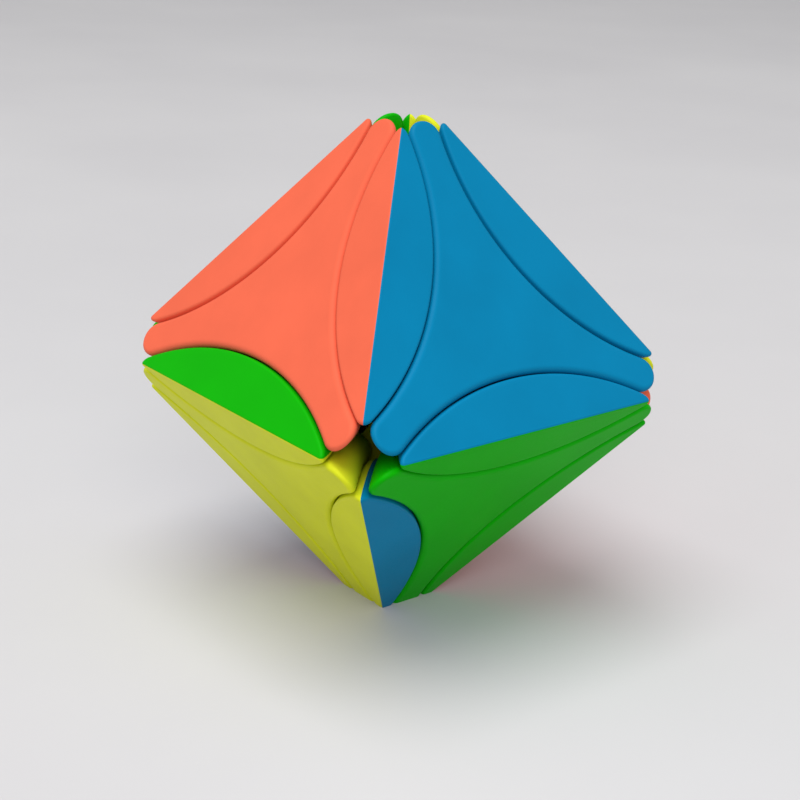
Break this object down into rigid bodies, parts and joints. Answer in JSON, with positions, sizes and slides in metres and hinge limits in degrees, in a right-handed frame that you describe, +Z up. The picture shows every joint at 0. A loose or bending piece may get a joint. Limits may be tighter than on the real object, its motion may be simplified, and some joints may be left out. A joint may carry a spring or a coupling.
{
  "type": "eight-faced twisty puzzle",
  "caption": "Octahedral face-turning puzzle with arc-cut layers: three-armed star centres, two-colour edge pieces, screw-and-spring core.",
  "frame": {"origin": "middle of the core, where all eight turning axes cross", "axes": "+Z up through the top vertex, -Y through the front vertex, +X through the right vertex; the vertices lie on the axes"},
  "size_m": [0.0846, 0.0846, 0.0846],
  "materials": {
    "coral_plastic": "fine-grained satin",
    "blue_plastic": "fine-grained satin",
    "yellow_plastic": "fine-grained satin",
    "green_plastic": "fine-grained satin",
    "black_plastic": "satin",
    "steel": "zinc plated"
  },
  "bodies": {
    "core": {"core_upper": "black_plastic", "core_lower": "black_plastic", "axis_screws": "steel", "springs": "steel", "washers": "steel"},
    "upper_left_front_star": {"upper_left_front_star_cap": "coral_plastic", "upper_left_front_star_base": "black_plastic"},
    "upper_right_front_star": {"upper_right_front_star_cap": "blue_plastic", "upper_right_front_star_base": "black_plastic"},
    "upper_right_back_star": {"upper_right_back_star_cap": "yellow_plastic", "upper_right_back_star_base": "black_plastic"},
    "upper_left_back_star": {"upper_left_back_star_cap": "green_plastic", "upper_left_back_star_base": "black_plastic"},
    "lower_left_front_star": {"lower_left_front_star_cap": "yellow_plastic", "lower_left_front_star_base": "black_plastic"},
    "lower_right_front_star": {"lower_right_front_star_cap": "green_plastic", "lower_right_front_star_base": "black_plastic"},
    "lower_right_back_star": {"lower_right_back_star_cap": "coral_plastic", "lower_right_back_star_base": "black_plastic"},
    "lower_left_back_star": {"lower_left_back_star_cap": "blue_plastic", "lower_left_back_star_base": "black_plastic"},
    "top_front_edge": {"top_front_edge_left_half": "coral_plastic", "top_front_edge_right_half": "blue_plastic"},
    "top_back_edge": {"top_back_edge_left_half": "green_plastic", "top_back_edge_right_half": "yellow_plastic"},
    "top_right_edge": {"top_right_edge_front_half": "blue_plastic", "top_right_edge_back_half": "yellow_plastic"},
    "top_left_edge": {"top_left_edge_front_half": "coral_plastic", "top_left_edge_back_half": "green_plastic"},
    "left_front_edge": {"left_front_edge_upper_half": "green_plastic", "left_front_edge_lower_half": "yellow_plastic"},
    "right_front_edge": {"right_front_edge_upper_half": "blue_plastic", "right_front_edge_lower_half": "green_plastic"},
    "right_back_edge": {"right_back_edge_upper_half": "yellow_plastic", "right_back_edge_lower_half": "coral_plastic"},
    "left_back_edge": {"left_back_edge_upper_half": "green_plastic", "left_back_edge_lower_half": "blue_plastic"},
    "bottom_front_edge": {"bottom_front_edge_left_half": "yellow_plastic", "bottom_front_edge_right_half": "blue_plastic"},
    "bottom_back_edge": {"bottom_back_edge_left_half": "blue_plastic", "bottom_back_edge_right_half": "coral_plastic"},
    "bottom_right_edge": {"bottom_right_edge_front_half": "green_plastic", "bottom_right_edge_back_half": "coral_plastic"},
    "bottom_left_edge": {"bottom_left_edge_front_half": "yellow_plastic", "bottom_left_edge_back_half": "coral_plastic"}
  },
  "joints": [
    {"name": "upper_left_front_turn", "type": "hinge", "parent": "core", "child": "upper_left_front_star", "pos_m": [0, 0, 0], "axis": [-0.5774, -0.5774, 0.5774], "range_deg": [-120, 120]},
    {"name": "upper_right_front_turn", "type": "hinge", "parent": "core", "child": "upper_right_front_star", "pos_m": [0, 0, 0], "axis": [0.5774, -0.5774, 0.5774], "range_deg": [-120, 120]},
    {"name": "upper_right_back_turn", "type": "hinge", "parent": "core", "child": "upper_right_back_star", "pos_m": [0, 0, 0], "axis": [0.5774, 0.5774, 0.5774], "range_deg": [-120, 120]},
    {"name": "upper_left_back_turn", "type": "hinge", "parent": "core", "child": "upper_left_back_star", "pos_m": [0, 0, 0], "axis": [-0.5774, 0.5774, 0.5774], "range_deg": [-120, 120]},
    {"name": "lower_left_front_turn", "type": "hinge", "parent": "core", "child": "lower_left_front_star", "pos_m": [0, 0, 0], "axis": [-0.5774, -0.5774, -0.5774], "range_deg": [-120, 120]},
    {"name": "lower_right_front_turn", "type": "hinge", "parent": "core", "child": "lower_right_front_star", "pos_m": [0, 0, 0], "axis": [0.5774, -0.5774, -0.5774], "range_deg": [-120, 120]},
    {"name": "lower_right_back_turn", "type": "hinge", "parent": "core", "child": "lower_right_back_star", "pos_m": [0, 0, 0], "axis": [0.5774, 0.5774, -0.5774], "range_deg": [-120, 120]},
    {"name": "lower_left_back_turn", "type": "hinge", "parent": "core", "child": "lower_left_back_star", "pos_m": [0, 0, 0], "axis": [-0.5774, 0.5774, -0.5774], "range_deg": [-120, 120]},
    {"name": "top_front_edge_turn", "type": "hinge", "parent": "upper_right_front_star", "child": "top_front_edge", "pos_m": [0, 0, 0], "axis": [-0.5774, -0.5774, 0.5774], "range_deg": [-120, 120]},
    {"name": "top_back_edge_turn", "type": "hinge", "parent": "upper_left_back_star", "child": "top_back_edge", "pos_m": [0, 0, 0], "axis": [0.5774, 0.5774, 0.5774], "range_deg": [-120, 120]},
    {"name": "top_right_edge_turn", "type": "hinge", "parent": "upper_right_front_star", "child": "top_right_edge", "pos_m": [0, 0, 0], "axis": [0.5774, 0.5774, 0.5774], "range_deg": [-120, 120]},
    {"name": "top_left_edge_turn", "type": "hinge", "parent": "upper_left_back_star", "child": "top_left_edge", "pos_m": [0, 0, 0], "axis": [-0.5774, -0.5774, 0.5774], "range_deg": [-120, 120]},
    {"name": "left_front_edge_turn", "type": "hinge", "parent": "lower_left_front_star", "child": "left_front_edge", "pos_m": [0, 0, 0], "axis": [-0.5774, -0.5774, 0.5774], "range_deg": [-120, 120]},
    {"name": "right_front_edge_turn", "type": "hinge", "parent": "upper_right_front_star", "child": "right_front_edge", "pos_m": [0, 0, 0], "axis": [0.5774, -0.5774, -0.5774], "range_deg": [-120, 120]},
    {"name": "right_back_edge_turn", "type": "hinge", "parent": "lower_right_back_star", "child": "right_back_edge", "pos_m": [0, 0, 0], "axis": [0.5774, 0.5774, 0.5774], "range_deg": [-120, 120]},
    {"name": "left_back_edge_turn", "type": "hinge", "parent": "upper_left_back_star", "child": "left_back_edge", "pos_m": [0, 0, 0], "axis": [-0.5774, 0.5774, -0.5774], "range_deg": [-120, 120]},
    {"name": "bottom_front_edge_turn", "type": "hinge", "parent": "lower_left_front_star", "child": "bottom_front_edge", "pos_m": [0, 0, 0], "axis": [0.5774, -0.5774, -0.5774], "range_deg": [-120, 120]},
    {"name": "bottom_back_edge_turn", "type": "hinge", "parent": "lower_right_back_star", "child": "bottom_back_edge", "pos_m": [0, 0, 0], "axis": [-0.5774, 0.5774, -0.5774], "range_deg": [-120, 120]},
    {"name": "bottom_right_edge_turn", "type": "hinge", "parent": "lower_right_back_star", "child": "bottom_right_edge", "pos_m": [0, 0, 0], "axis": [0.5774, -0.5774, -0.5774], "range_deg": [-120, 120]},
    {"name": "bottom_left_edge_turn", "type": "hinge", "parent": "lower_left_front_star", "child": "bottom_left_edge", "pos_m": [0, 0, 0], "axis": [-0.5774, 0.5774, -0.5774], "range_deg": [-120, 120]}
  ],
  "couplings": [
    {"joint": "top_front_edge_turn", "follows": "upper_left_front_turn", "ratio": 1},
    {"joint": "top_back_edge_turn", "follows": "upper_right_back_turn", "ratio": 1},
    {"joint": "top_right_edge_turn", "follows": "upper_right_back_turn", "ratio": 1},
    {"joint": "top_left_edge_turn", "follows": "upper_left_front_turn", "ratio": 1},
    {"joint": "left_front_edge_turn", "follows": "upper_left_front_turn", "ratio": 1},
    {"joint": "right_front_edge_turn", "follows": "lower_right_front_turn", "ratio": 1},
    {"joint": "right_back_edge_turn", "follows": "upper_right_back_turn", "ratio": 1},
    {"joint": "left_back_edge_turn", "follows": "lower_left_back_turn", "ratio": 1},
    {"joint": "bottom_front_edge_turn", "follows": "lower_right_front_turn", "ratio": 1},
    {"joint": "bottom_back_edge_turn", "follows": "lower_left_back_turn", "ratio": 1},
    {"joint": "bottom_right_edge_turn", "follows": "lower_right_front_turn", "ratio": 1},
    {"joint": "bottom_left_edge_turn", "follows": "lower_left_back_turn", "ratio": 1}
  ]
}
